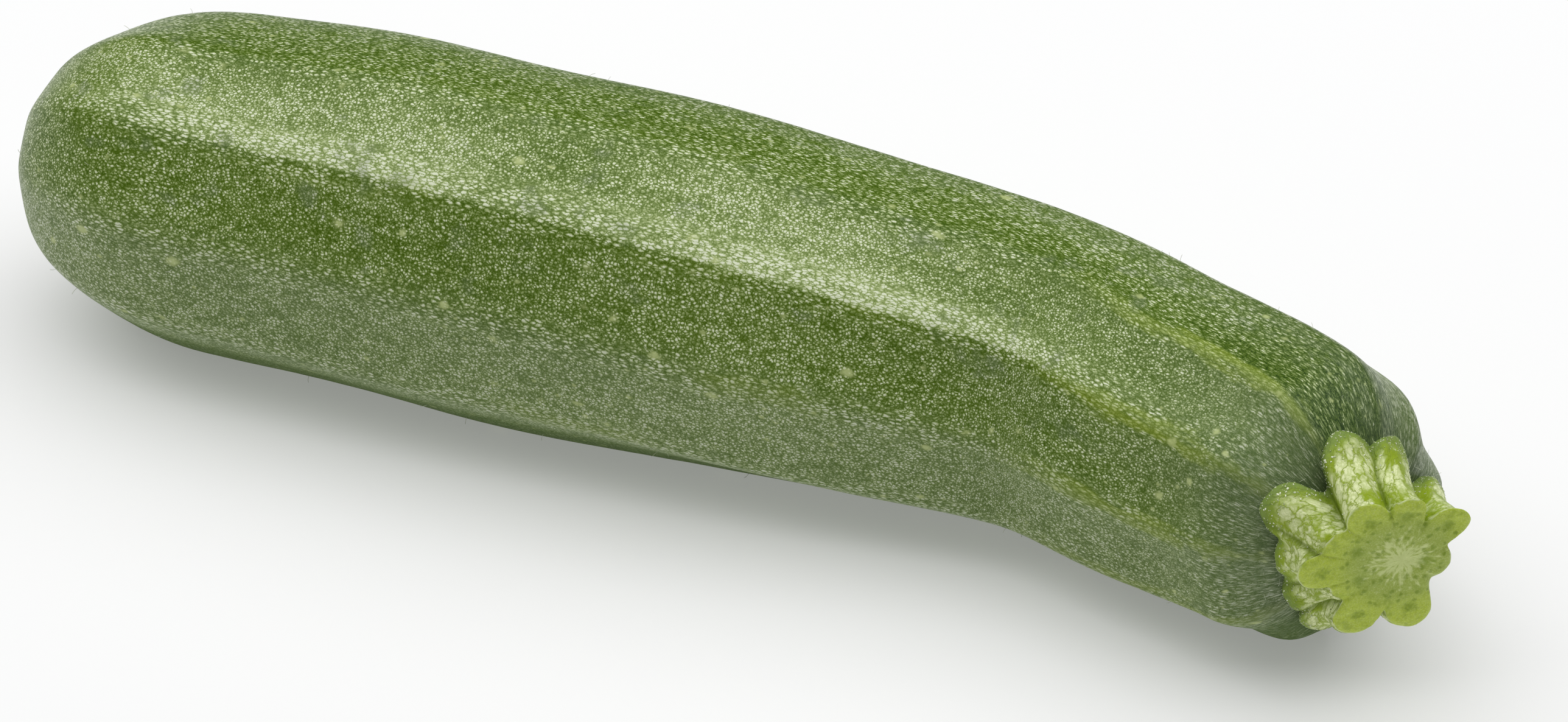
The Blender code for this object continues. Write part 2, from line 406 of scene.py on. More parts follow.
print("the barrel takes", round(BARREL_SHARE, 2), "of the way along the fruit")

# %% [markdown]
# ## Ribs, lumps and dimples
# A courgette has ten ribs, and every second one stands out more. One less the size of a sine has a sharp
# crest at each of its zeros and a broad hollow between them, which is the ribs' own section once the crest
# is rounded off. They grow towards the stem and turn a little on the way. Three slow waves take the
# evenness out of the growth, and noise adds shallow dimples.

# %% Raise the ribs
RIB_COUNT = 10
RIB_ANGLE_AT_BLOSSOM = radians(55)
RIB_TWIST = radians(-19)
RIB_ROUNDING = 0.18
RIB_ROUNDING_AT_SCAR = 0.50
RIB_MIDDLE = 0.4
MAIN_RIB_EXTRA_AT_BLOSSOM = 0.15 * MM
MAIN_RIB_EXTRA_AT_STEM = 0.55 * MM
DIMPLE_SIZE = 5 * MM

# Slow unevenness of the growth: height, waves along the fruit, waves round it, phase
LUMPS = [
    (0.28 * MM, 2.3, 2, 0.4),
    (0.22 * MM, 4.1, 3, 2.1),
    (0.16 * MM, 6.7, 1, 4.4),
]


def raise_relief(bench, size, along, around, grain):
    """How far the skin stands out from the barrel at each point, and how near a rib's crest it is."""
    stemward = along * along
    wave = (around * (RIB_COUNT / 2)).sine()
    rounding = bench.mix(along.rises(0.05, 0.30), RIB_ROUNDING_AT_SCAR, RIB_ROUNDING)
    crest = 1 - (wave * wave + rounding * rounding).root()
    rib_height = bench.mix(stemward, size["Rib height at blossom"], size["Rib height at stem"])
    relief = rib_height * (crest - RIB_MIDDLE)
    extra = MAIN_RIB_EXTRA_AT_BLOSSOM + stemward * (MAIN_RIB_EXTRA_AT_STEM - MAIN_RIB_EXTRA_AT_BLOSSOM)
    relief += extra * (around * (RIB_COUNT / 2)).cosine()
    for height, along_waves, around_waves, phase in LUMPS:
        relief += (along * (along_waves * tau) + around * around_waves + phase).sine() * height
    relief += (bench.clouds(grain * (0.6, 1.0, 1.0), DIMPLE_SIZE) - 0.5) * size["Dimples"]
    return relief, crest


print("the fruit has", RIB_COUNT, "ribs and", len(LUMPS), "slow waves")

# %% [markdown]
# ## The flower's scar
# The flower leaves a shallow dish at the blossom end, with a raised, ragged rim and the stub of the style
# in its middle. A bump in the material could hint at it, but the dish shows in the outline from the side,
# so it is pressed into the points. Each of its forms follows from one number, the distance from the middle.

# %% Press the flower's scar
SCAR_RIM_PLACE = 1.06
SCAR_RIM_HEIGHT = 0.26 * MM
SCAR_ROUGHNESS = 0.12 * MM
STUB_HEIGHT = 0.45 * MM


def press_of_scar(bench, size, along, radius, grain):
    """How far each point is pressed into the blossom end."""
    ragged = (bench.clouds(grain, 1.6 * MM, 3.0) - 0.5) * 2
    scar = radius / size["Scar radius"]
    dish = (1 - scar * scar).at_least(0).root() * size["Scar depth"]
    rim = 1 - (scar + ragged * 0.08 - SCAR_RIM_PLACE).maths("ABSOLUTE") * 5
    stub = (1 - scar * 5).at_least(0) * STUB_HEIGHT
    rough = ragged * scar.rises(1.05, 0.8) * SCAR_ROUGHNESS
    on_dome = along.maths("LESS_THAN", BLOSSOM_DOME_SHARE)
    return (dish - rim.at_least(0) * SCAR_RIM_HEIGHT - stub + rough) * on_dome


print("the scar's rim stands", round(SCAR_RIM_HEIGHT / MM, 2), "mm high")

# %% [markdown]
# ## Growing the fruit
# The last function puts the rule together. It also stores attributes while the points are still the
# sphere's and say where they belong: the skin's own coordinates, straightened and free of a seam, which the
# net of cells is drawn in, the way out, the place along the fruit, the distance from its middle line, and
# the nearness of a crest. Once the fruit is a plain mesh these are all that its material and the stem know
# of the rule.

# %% Grow the fruit
# The rounding keeps a crest's value below 1, and this brings it back there
CREST_GAIN = 1.2


def shape_fruit():
    """The whole rule: from the sphere to the skin with its attributes."""
    bench, size = open_tree("fruit_rule", FRUIT_INPUTS)
    counts = {"Segments": size["Segments"], "Rings": size["Rings"], "Radius": 1.0}
    kept = bench.node("GeometryNodeMeshUVSphere", inputs=counts, output="Mesh")
    along, around = place_on_sphere(bench)
    sample, share, skin_length, drawn = walk_middle_line(bench, size, along)
    grain = bench.vector(skin_length, drawn * around.cosine(), drawn * around.sine())
    relief, crest = raise_relief(bench, size, along, around, grain)
    radius = share * (sample + relief)

    # The section's directions to the -Y side and up, and each point's place, never below the floor
    ahead = sample.also("Tangent")
    side = ahead.across((0.0, 0.0, 1.0)).maths("NORMALIZE")
    up = side.across(ahead)
    angle = around + RIB_ANGLE_AT_BLOSSOM + along * RIB_TWIST
    outward = side * angle.cosine() + up * angle.sine()
    press = press_of_scar(bench, size, along, radius, grain)
    place = sample.also("Position") + outward * radius + up.across(side) * press
    place = bench.vector(place.part("X"), place.part("Y"), place.part("Z").at_least(0))

    marks = [("grain", grain), ("outward", outward)]
    marks += [("along", along), ("reach", radius), ("crest", crest * CREST_GAIN)]
    for label, field in marks:
        kind = "FLOAT_VECTOR" if field.socket.type == "VECTOR" else "FLOAT"
        stored = {"Geometry": kept, "Name": label, "Value": field}
        kept = bench.node("GeometryNodeStoreNamedAttribute", {"data_type": kind, "domain": "POINT"}, stored)
    shaped = bench.node("GeometryNodeSetPosition", inputs={"Geometry": kept, "Position": place})
    close_tree(bench, shaped, size["Material"])
    return bench


fruit = grow("courgette_fruit", shape_fruit(), FRUIT_INPUTS)
bpy.data.objects.remove(middle_line)
print("the fruit measures", [round(side * 1000, 1) for side in fruit.dimensions], "mm")

# %% [markdown]
# ## A material to start from
# Every finish below is a Principled shader whose changing inputs are wired and whose steady ones are plain
# numbers on the shader. A pattern needs a place to be drawn in, and each piece brings its own: the
# attributes that its shape left on its points.

# %% Start a material
def start_material(material):
    """A material with nothing but its Principled shader, ready to be wired."""
    material.use_nodes = True
    material.node_tree.nodes.clear()
    bench = Bench(material.node_tree)
    surface = bench.node("ShaderNodeBsdfPrincipled")
    bench.node("ShaderNodeOutputMaterial", inputs={"Surface": surface})
    return bench, surface.socket.node


def attribute(bench, name, output="Vector"):
    return bench.node("ShaderNodeAttribute", {"attribute_name": name}, output=output)


def finish_shader(bench, shader, **values):
    """Plugs colours, numbers and wires into the shader's sockets; an underscore stands for a space."""
    for name, value in values.items():
        bench.plug(shader.inputs[name.replace("_", " ")], value)


# %% [markdown]
# ## Cells and specks
# Close up, a courgette's skin is a net: thin dark green lines run between pale cells of some 0.4
# millimetres, and each cell glows in its middle. A Voronoi texture knows the distances to the nearest cell
# middle and to the second nearest. Their difference over their sum is 0 on the lines between cells and 1 in
# a middle, and a power below one makes it rise steeply beside the lines, which keeps them thin. The cream
# specks are round, so for them the distance to their own middle is enough, and a random number for each
# makes them unequal.

# %% Define cells and specks
NET_POWER = 0.6
NET_GAIN = 1.5


def between_middles(bench, place, cell):
    """0 on the lines between cells and 1 in each cell's own middle."""
    cells = {"Vector": place, "Scale": 1 / cell}
    nearest = bench.node("ShaderNodeTexVoronoi", {"feature": "F1"}, cells)
    second = bench.node("ShaderNodeTexVoronoi", {"feature": "F2"}, cells)
    return (second - nearest) / (second + nearest)


def net_of_cells(bench, place, cell):
    """Thin lines at 0, and cells that brighten towards their middles and pass 1 there."""
    return between_middles(bench, place, cell) ** NET_POWER * NET_GAIN


def soft_cells(bench, place, cell, plateau):
    """Flat-topped domes, at 1 from where the distance measure reaches the plateau."""
    inside = (between_middles(bench, place, cell) / plateau).at_most(1)
    return inside * (2 - inside)


def scattered(bench, place, spacing, radius, ragged):
    """Round specks: 1 in the middle of each, of unequal size and with a ragged edge."""
    cells = {"Vector": place, "Scale": 1 / spacing}
    nearest = bench.node("ShaderNodeTexVoronoi", {"feature": "F1"}, cells, "Distance")
    chance = nearest.also("Color").part("X")
    return (nearest * spacing + ragged).rises(chance * radius + 0.12, chance * (radius * 0.3))


print("the net rises with the power", NET_POWER, "and a gain of", NET_GAIN)

# %% [markdown]
# ## The sides of the fruit
# Most of what changes over the skin follows its place, and the fruit's own attributes know it: how far
# along, how near a crest, and at which angle from the first main rib. The sine of that angle is 0 on the
# rib and grows over the top of the fruit. From it come masks: a facet just above the first main rib, paler
# partly in its own colour and partly by painted sheen of the softbox, with a painted highlight along the
# rib's crest; a deep green band above that one, partly its own colour and partly painted shade; a lower side
# lightened and greyed by painted light and reflection from the white floor; and a belly darkened by painted
# shade. All but the belly keep to the half round that rib, which faces up. Noise breaks their edges, because
# nothing on a grown skin ends on a ruled line, and most of it is drawn out along the fruit, as the skin
# itself is by growing.

# %% Find the sides of the fruit
ALONG_FRUIT = (1.0, 0.0, 0.0)
OUT_OF_FIRST_RIB = (0.0, 1.0, 0.0)
UP_FROM_FIRST_RIB = (0.0, 0.0, 1.0)
TO_THE_BELLY = (0.0, -0.707, -0.707)

# Sizes of the skin's noises, in millimetres
MOTTLE_SIZE = 0.22
SHIVER_SIZE = 0.45
LIVELY_SIZE = 0.8
PATCH_SIZE = 1.5
SLOW_SIZE = 12.0

bench, shader = start_material(skin)
grain = attribute(bench, "grain") * 1000
along = attribute(bench, "along", "Fac")
crest = attribute(bench, "crest", "Fac")
shiver = bench.clouds(grain, SHIVER_SIZE, 2.0, "Color") - 0.5
mottle = bench.clouds(grain, MOTTLE_SIZE, 1.0)
lively = bench.clouds(grain * (0.6, 1.0, 1.0), LIVELY_SIZE, 2.0)
patchy = bench.clouds(grain * (0.25, 1.0, 1.0), PATCH_SIZE, 3.0)
slow = bench.clouds(grain * (0.35, 1.0, 1.0), SLOW_SIZE, 2.0)
broken = (lively - 0.5) * 0.12 + (patchy - 0.5) * 0.10

girth = grain.across(ALONG_FRUIT).length().at_least(0.1)
side_turn = grain.dot(UP_FROM_FIRST_RIB) / girth
facing_up = grain.dot(OUT_OF_FIRST_RIB).rises(-3.0, 3.0)
upper = side_turn.rises(0.48, 0.70) * facing_up
above_rib = (side_turn + broken * 0.12).rises(-0.020, 0.012) * facing_up
# Painted highlight: a narrow light band along the crest of the first main rib, where the softbox glints
crest_highlight_band = above_rib * (side_turn + broken * 0.6).rises(0.24, 0.08)
# Painted sheen: the facet just above the first main rib is lightened where the softbox's reflection lies, on
# top of its own paler green
sheen_facet = above_rib * (side_turn + broken * 3.0).rises(0.80, 0.30)
sheen_facet = sheen_facet * along.rises(0.78, 0.64) * along.rises(0.07, 0.32)
# A deeper green band over the top, partly its own colour and partly painted shade where the softbox's
# reflection does not reach
dark_band = (side_turn + broken).rises(0.44, 0.60) * (side_turn + broken).rises(0.90, 0.76) * facing_up
# Painted light and reflection from the white floor: the lower side towards the camera is lightened and
# greyed
floor_reflection_side = (side_turn + broken).rises(-0.35, -0.75) * facing_up
# Painted shade: the belly down by the floor is darkened
belly = (grain.dot(TO_THE_BELLY) / girth).rises(0.45, 0.80)
neck = along.rises(0.70, 0.90)
print("masks of the sides use", len(skin.node_tree.nodes), "nodes")

# %% [markdown]
# ## Two nets in one
# On the facets the cells are round. Near rib crests, high on the fruit and on the neck growth has stretched
# them along the fruit, and round the stem they run into streaks. A second net takes over there, whose
# coordinate along the fruit is squeezed, and squeezed more and more towards the stem. Larger soft cells
# make clusters in which the net is brighter.

# %% Draw the net
CELL_SIZE = 0.38
LONG_CELL_SIZE = 0.361
LONG_CELL_GAIN = 1.08
LONG_CELL_SQUEEZE = 0.38
STREAKS_FROM = 178.0
STREAK_SQUEEZE = 0.0031
CLUSTER_SIZE = 1.5
CLUSTER_PLATEAU = 0.26

round_place = grain * (0.80, 1.0, 1.0) + shiver * 0.45
past = (grain.part("X") - STREAKS_FROM).at_least(0)
squeezed = grain.part("X") * LONG_CELL_SQUEEZE - past * past * STREAK_SQUEEZE
long_place = bench.vector(squeezed, grain.part("Y"), grain.part("Z")) + shiver * (0.15, 0.40, 0.40)
round_net = net_of_cells(bench, round_place, CELL_SIZE)
long_net = net_of_cells(bench, long_place, LONG_CELL_SIZE) * LONG_CELL_GAIN
near_crest = (crest + (patchy - 0.5) * 0.8).rises(0.55, 0.80)
near_stem = (along + lively * 0.1).rises(0.80, 0.88)
stretched = near_crest.at_least(near_stem).at_least(crest_highlight_band).at_least(upper)
net = bench.mix(stretched, round_net, long_net)
cluster_place = grain * (0.45, 1.0, 1.0) + shiver * (0.5, 1.1, 1.1)
clusters = soft_cells(bench, cluster_place, CLUSTER_SIZE, CLUSTER_PLATEAU)
print("cells of", CELL_SIZE, "mm in clusters of", CLUSTER_SIZE, "mm")

# %% [markdown]
# ## From one value to the greens
# A single value collects the net, its clusters, the noise and the masks, and a colour ramp turns it into
# the greens, from the lines' dark green to the brightest cell middles. One ramp for all of them keeps the
# colours in step: on the real skin a lighter spot is also a yellower and then a greyer one, wherever it
# lies.

# %% Colour the skin
SKIN_GREENS = [
    (0.00, (0.015, 0.045, 0.001)),
    (0.16, (0.053, 0.110, 0.002)),
    (0.30, (0.089, 0.154, 0.008)),
    (0.46, (0.150, 0.224, 0.045)),
    (0.62, (0.258, 0.342, 0.104)),
    (0.76, (0.450, 0.535, 0.240)),
    (1.00, (0.740, 0.790, 0.580)),
]
# The value passes 1 in the brightest middles, and this brings it back onto the ramp
RAMP_REACH = 0.8
SPECK_SPACING = 4.4

# What the sides of the fruit add to the value, and by which share they lower it
BASE_VALUE = 0.18
# Painted sheen of the softbox on the facet above the first main rib, partly its own paler green
SHEEN_FACET_LIFT = 0.23
# Painted floor light on the lower side
FLOOR_REFLECTION_LIFT = 0.12
# Painted highlight along the first main rib's crest
CREST_HIGHLIGHT_LIFT = 0.12
FAR_SIDE_LIFT = 0.07
# Partly painted shade on the band over the top
DARK_BAND_SHADE = 0.09
NECK_DIMMING = 0.14
# Painted shade on the belly
BELLY_SHADE = 0.38

ragged = (lively - 0.5) * 1.2
speck_place = grain * (0.75, 1.0, 1.0)
large_specks = scattered(bench, speck_place, SPECK_SPACING, 0.90, ragged)
small_specks = scattered(bench, speck_place * 1.9 + 3.0, SPECK_SPACING, 0.80, ragged)
specks = large_specks.at_least(small_specks * 0.75)

value = net * (0.62 + clusters * 0.38) * (0.75 + lively * 0.5)
value += (patchy - 0.5) * 0.24 + (mottle - 0.5) * 0.45 + (slow - 0.5) * (0.25 + sheen_facet * 0.8)
# Painted sheen lifts the facet above the first rib, and painted floor light lifts the lower side
value += BASE_VALUE + sheen_facet * (SHEEN_FACET_LIFT - value * 0.08) + floor_reflection_side * (FLOOR_REFLECTION_LIFT - value * 0.02)
# Painted highlight along the first main rib's crest
value += crest_highlight_band * along.rises(0.80, 0.66) * along.rises(0.12, 0.36) * CREST_HIGHLIGHT_LIFT
# The band over the top is darkened, partly as painted shade
value += (1 - facing_up) * FAR_SIDE_LIFT - dark_band * DARK_BAND_SHADE
# The neck is a darker green, and the belly is darkened by painted shade
value = value * (1 - neck * NECK_DIMMING) * (1 - belly * BELLY_SHADE) - neck * upper * 0.20
value = value.at_least(specks * 0.85) * RAMP_REACH
colour = bench.node("ShaderNodeValToRGB", {"stops": SKIN_GREENS}, {"Fac": value}, "Color")
print("greens in", len(SKIN_GREENS), "stops, specks", SPECK_SPACING, "mm apart")

# %% [markdown]
# ## Yellow-green ribs, bloom, painted reflection and specks
# Where two facets meet near the stem, the crest is yellow-green, and patches of it follow the crests
# elsewhere. The grey is partly thin wax bloom, in patches, and partly painted reflection of the white floor
# and the room, which greys the lower side, the belly, the neck and the top edge. It hides the net a little,
# but the pale cells hold more of it than the lines. Last come the cream specks and the bare dark skin round
# the stem, through which only the streaks shine.

# %% Lay lime, bloom, painted reflection and specks over the greens
LIME_DARK = (0.120, 0.190, 0.004)
LIME_PALE = (0.380, 0.480, 0.075)
# Grey of the real wax bloom and of the painted reflection of the white floor and room
BLOOM_AND_REFLECTION_GREY = (0.162, 0.202, 0.128)
CREAM_COLOUR = (0.55, 0.62, 0.26)
NECK_COLOUR = (0.070, 0.100, 0.050)

lime_end = 0.96 - upper * 0.07
lime_part = along.rises(0.66, 0.76) * along.rises(lime_end, lime_end - 0.08) + slow.rises(0.52, 0.66) * 0.4
lime = (crest + (patchy - 0.5) * 1.2).rises(0.62, 1.0) * lime_part * side_turn.rises(0.86, 0.72) * facing_up
lime_colour = bench.colour(net.at_most(1), LIME_DARK, LIME_PALE)
colour = bench.colour(lime * (0.9 - net * 0.2).at_least(0.4), colour, lime_colour)

# Real wax bloom in patches; on the neck, the lower side, the belly and the top edge the grey is painted
# reflection
bloom_and_reflection = (bench.clouds(grain * (0.8, 1.0, 1.0) + 40.0, 6.0, 3.0) + ragged * 0.10).rises(0.58, 0.72) * 0.4
bloom_and_reflection = bloom_and_reflection.at_least(neck * (0.60 - upper * 0.50)).at_least(floor_reflection_side * 0.32).at_least(belly * 0.45)
bloom_and_reflection = bloom_and_reflection.at_least((side_turn + broken * 2.0).rises(0.80, 0.95) * facing_up * 0.35)
colour = bench.colour(bloom_and_reflection * (0.45 + net * 0.7).at_most(1), colour, BLOOM_AND_REFLECTION_GREY)
colour = bench.colour(specks * 0.6, colour, CREAM_COLOUR)
bare = (along + (patchy - 0.5) * 0.06).rises(0.86, 0.95)
colour = bench.colour(bare * (0.85 - net * 0.60).at_least(0), colour, NECK_COLOUR)
print("lime from", LIME_DARK, "to", LIME_PALE)

# %% [markdown]
# ## The flower's scar and the wax
# The flower sat at the blossom end and left a corky disc: grey-brown, inside a pale ragged ring, with the
# dry stub of the style in its middle. How far each point lies from the middle is an attribute already, and
# noise on it tears the edges. The pale cells of the skin are also its waxy ones, so they carry the coat,
# while the cork and the belly are dull. A very low bump follows the net, for the sparkle that the cells
# have in a low light.

# %% Paint the scar and finish the skin
CORK_DARK = (0.130, 0.125, 0.060)
CORK_PALE = (0.340, 0.330, 0.190)
RING_COLOUR = (0.430, 0.470, 0.270)
STUB_COLOUR = (0.120, 0.090, 0.045)
SCAR_REACH = SCAR_RADIUS / MM
NET_RELIEF = 0.02 * MM

reach = attribute(bench, "reach", "Fac") * 1000
at_blossom = along.rises(0.27, 0.25)
torn_reach = reach + (bench.clouds(grain, 1.2, 3.0) - 0.5) * 1.4
scar = torn_reach.rises(SCAR_REACH + 0.3, SCAR_REACH - 0.3) * at_blossom
cork = bench.colour(bench.clouds(grain, 0.35, 4.0).rises(0.38, 0.62), CORK_DARK, CORK_PALE)
colour = bench.colour(scar * 0.9, colour, cork)
ring = (torn_reach - SCAR_REACH - 0.3).maths("ABSOLUTE").rises(0.7, 0.15) * at_blossom
colour = bench.colour(ring * 0.6, colour, RING_COLOUR)
colour = bench.colour(torn_reach.rises(1.5, 0.9) * at_blossom, colour, STUB_COLOUR)

dull = belly.at_least(scar)
height = net * 0.8 + mottle * 0.4 + specks * 0.4
bump = bench.node("ShaderNodeBump", inputs={"Strength": 1.0, "Distance": NET_RELIEF, "Height": height})
roughness = 0.42 - net * 0.06 + bloom_and_reflection * 0.2 + dull * 0.3
wax = net.at_most(1) * (0.35 + lively * 0.8) * (1 - dull * 0.9)
finish_shader(bench, shader, Base_Color=colour, Roughness=roughness, Normal=bump, IOR=1.45)
finish_shader(bench, shader, Specular_IOR_Level=0.10, Coat_Weight=wax, Coat_Roughness=0.36)
print("the skin's tree has", len(skin.node_tree.nodes), "nodes")

# %% [markdown]
# ## The stem's root, read off the fruit
# The stem grows out of the fruit's shoulder, so its lowest ring has to follow the skin there exactly. The
# fruit's mesh knows where that is: its points are a grid of rings and columns with their angle and reach as
# attributes. Reading the grid back is shorter than writing the fruit's rule a second time, and it can't
# disagree with it.

# %% Read the shoulder
POINT_COLUMNS = [("co", 3), ("outward", 3), ("reach", 1), ("along", 1)]
REACH_COLUMN = 6
ALONG_COLUMN = 7


def read_points(mesh, name, width):
    """An attribute, or the points' places, as one row of numbers for each point."""
    values = np.zeros(len(mesh.vertices) * width, np.float32)
    if name == "co":
        mesh.vertices.foreach_get("co", values)
    else:
        mesh.attributes[name].data.foreach_get("vector" if width == 3 else "value", values)
    return values.reshape(len(mesh.vertices), width)


# The mesh starts with the single point at the stem end, and the rings of the shoulder follow it
SHOULDER_RINGS = int(RINGS * STEM_RING_SHARE)
grid = np.hstack([read_points(fruit.data, name, width) for name, width in POINT_COLUMNS])
shoulder = grid[1 : 1 + SHOULDER_RINGS * SEGMENTS].reshape(SHOULDER_RINGS, SEGMENTS, -1)


def on_the_shoulder(angles, reaches):
    """The skin at each angle round the fruit's stem end and reach from its middle, and the way out there."""
    around = angles[None, :] - RIB_ANGLE_AT_BLOSSOM - RIB_TWIST * shoulder[:, :1, ALONG_COLUMN]
    column = (pi - around) / tau * SEGMENTS % SEGMENTS
    left = np.floor(column).astype(int) % SEGMENTS
    share = (column - np.floor(column))[..., None]
    rings = np.arange(SHOULDER_RINGS)[:, None]
    rows = shoulder[rings, left] * (1 - share) + shoulder[rings, (left + 1) % SEGMENTS] * share
    found = []
    for index, reach in enumerate(reaches):
        row = rows[:, index]
        reached = row[:, REACH_COLUMN]
        found.append([np.interp(reach, reached, row[:, place]) for place in range(REACH_COLUMN)])
    found = np.array(found)
    return found[:, :3], found[:, 3:]


shoulder_reach = [round(float(shoulder[ring, :, REACH_COLUMN].mean()) / MM, 1) for ring in (0, -1)]
print("the shoulder's first and last rings lie", shoulder_reach, "mm from its middle")

# %% [markdown]
# ## The stem's fingers
# A courgette's stem is a bundle of nine rounded fingers round a soft pith. At the root they spread into
# toes that sit on the shoulder, and they narrow and turn towards the slanting cut. The outline at either
# end is the furthest reach of all fingers in each direction, blended by a high power, which leaves a soft
# groove wherever two fingers meet. Nine tubes joined by booleans would leave hard creases there and a
# tangled mesh.

# %% Lay out the fingers
# Angle and reach on the fruit's shoulder, angle and reach in the cut, half the width in the cut. Angles are
# in degrees from the -Y side upward, and reaches in millimetres
FINGERS = [
    (37, 15.0, 17, 10.3, 3.4),
    (86, 14.2, 55, 11.1, 2.6),
    (119, 12.8, 91, 10.0, 2.2),
    (178, 13.3, 137, 10.2, 2.3),
    (222, 12.5, 190, 6.2, 2.6),
    (260, 12.5, 258, 11.9, 2.9),
    (298, 13.2, 297, 13.5, 2.8),
    (330, 12.0, 329, 9.6, 3.0),
    (368, 11.4, 353, 13.0, 2.5),
]
FINGER_HALF_WIDTH_AT_ROOT = 3.4
STEM_CORE_AT_ROOT = 9.0
STEM_CORE_AT_CUT = 5.6
GROOVE_SHARPNESS = 13
GROOVE_WIDTH = 1.3
STEM_SEGMENTS = 480


def finger_reaches(angles, middles, reaches, half_widths):
    """How far each round-ended finger reaches in each direction: a row for each finger."""
    off = np.abs((angles[None, :] - middles[:, None] + pi) % tau - pi)
    tip = (reaches - half_widths)[:, None]
    half = half_widths[:, None]
    round_end = tip * np.cos(off) + np.sqrt(np.maximum(half**2 - (tip * np.sin(off)) ** 2, 0))
    straight = half / np.maximum(np.sin(off), 1e-6)
    found = np.where(tip * np.sin(off) < half * np.cos(off), round_end, straight)
    return np.where(off < pi / 2, found, 0)


def bundle_reach(fingers, core):
    return (core**GROOVE_SHARPNESS + (fingers**GROOVE_SHARPNESS).sum(0)) ** (1 / GROOVE_SHARPNESS)


finger_table = np.array(FINGERS, float)
root_middles, cut_middles = np.radians(finger_table[:, 0]), np.radians(finger_table[:, 2])
cut_angles = np.arange(STEM_SEGMENTS) * tau / STEM_SEGMENTS
wrapped = (cut_angles - cut_middles[0]) % tau + cut_middles[0]
whole_cut_turn = np.append(cut_middles, cut_middles[0] + tau)
whole_root_turn = np.append(root_middles, root_middles[0] + tau)
root_angles = np.interp(wrapped, whole_cut_turn, whole_root_turn)
root_half = np.full(len(FINGERS), FINGER_HALF_WIDTH_AT_ROOT)
root_fingers = finger_reaches(root_angles, root_middles, finger_table[:, 1], root_half)
cut_fingers = finger_reaches(cut_angles, cut_middles, finger_table[:, 3], finger_table[:, 4])
root_reach = bundle_reach(root_fingers, STEM_CORE_AT_ROOT) * MM
cut_reach = bundle_reach(cut_fingers, STEM_CORE_AT_CUT) * MM

# 1 where the two longest fingers in a direction are equally long, which is where they meet
two_longest = np.sort(cut_fingers, axis=0)[-2:]
groove = np.exp(-(((two_longest[1] - two_longest[0]) / GROOVE_WIDTH) ** 2))[None, :]
print("the cut reaches from", round(cut_reach.min() / MM, 1), "to", round(cut_reach.max() / MM, 1), "mm")

# %% [markdown]
# ## The stem's wall
# The wall runs between the two outlines in rings, each a blend of both. It swells at the toes and is a
# little hollow half way up, and its lowest rings sink into the fruit, so that no gap shows under it. More
# rings shrink across the cut to its middle. A loft between two curves would do as well, but the points are
# kept as one array here, with a row for each ring, because relief and marks are then plain sums on the same
# rows.

# %% Raise the stem's wall
CUT_CENTRE = np.array((98.9, -12.2, 24.5)) * MM
CUT_HEADING = radians(-55)
CUT_RISE = radians(-5)
WALL_RINGS = 110
CUT_RINGS = 66
SINK = 0.8 * MM
SINK_SHARE = 1 / 12
TOE_SWELLING = 1.0 * MM
TOE_PLACE = 0.14
WALL_HOLLOW = 0.8 * MM

level = Vector((cos(CUT_HEADING), sin(CUT_HEADING), 0))
facing = cos(CUT_RISE) * level + sin(CUT_RISE) * Vector((0, 0, 1))
cut_side = level.cross(Vector((0, 0, 1)))
cut_up = np.array(cut_side.cross(facing))
cut_side, facing = np.array(cut_side), np.array(facing)
in_cut = np.cos(cut_angles)[:, None] * cut_side + np.sin(cut_angles)[:, None] * cut_up
on_cut = CUT_CENTRE + cut_reach[:, None] * in_cut
on_skin, stem_outward = on_the_shoulder(root_angles, root_reach)
last_step = np.array(STATIONS[-1][:3]) - np.array(STATIONS[-2][:3])
ahead = last_step / np.linalg.norm(last_step)

rows = []
row_height = []
row_share = []
for ring in range(WALL_RINGS + 1):
    height = ring / WALL_RINGS
    toe = TOE_SWELLING * height / TOE_PLACE * exp(1 - height / TOE_PLACE)
    hollow = WALL_HOLLOW * sin(pi * height)
    row = on_skin * (1 - height) + on_cut * height + (toe - hollow) * stem_outward
    row -= SINK * max(1 - height / SINK_SHARE, 0) * (stem_outward + ahead)
    rows.append(row)
    row_height.append(height)
    row_share.append(1.0)
for ring in range(1, CUT_RINGS):
    share = 1 - ring / CUT_RINGS
    rows.append(CUT_CENTRE + (share * cut_reach)[:, None] * in_cut)
    row_height.append(1.0)
    row_share.append(share)
stem_points = np.array(rows)
heights = np.array(row_height)[:, None]
shares = np.array(row_share)[:, None]
print("the stem has", len(rows), "rings of", STEM_SEGMENTS, "points")

# %% [markdown]
# ## Threads and wrinkles
# Threads run up the fingers and wrinkles cross the toes, and both are large enough to show in the outline,
# so they are real relief. All of it is one smooth noise, and only the place where it is read differs:
# threads are read mostly by direction and only a little by height, while wrinkles and lumps are read where
# the point itself is.

# %% Wrinkle the wall
RIDGE_HEIGHT = 0.30 * MM
THREAD_HEIGHT = 0.12 * MM
WRINKLE_HEIGHT = 0.45 * MM
LUMP_HEIGHT = 0.45 * MM
GROOVE_DEPTH = 0.35 * MM


def bumpy(places, size, seed):
    """Soft noise from -1 to 1 at each place, as an array of a row for each ring."""
    shift = Vector((seed * 7.3, seed * 3.1, seed * 5.7))
    found = [noise.noise(Vector(place) / size + shift) for place in places.reshape(-1, 3).tolist()]
    return np.array(found).reshape(len(rows), -1)


def up_the_wall(length, radius):
    """Places on an upright cylinder: the height, and the direction round the stem."""
    upward = np.repeat(heights, STEM_SEGMENTS, 1)[..., None] * length
    return np.concatenate([upward, np.broadcast_to(directions * radius, (len(rows), STEM_SEGMENTS, 2))], 2)


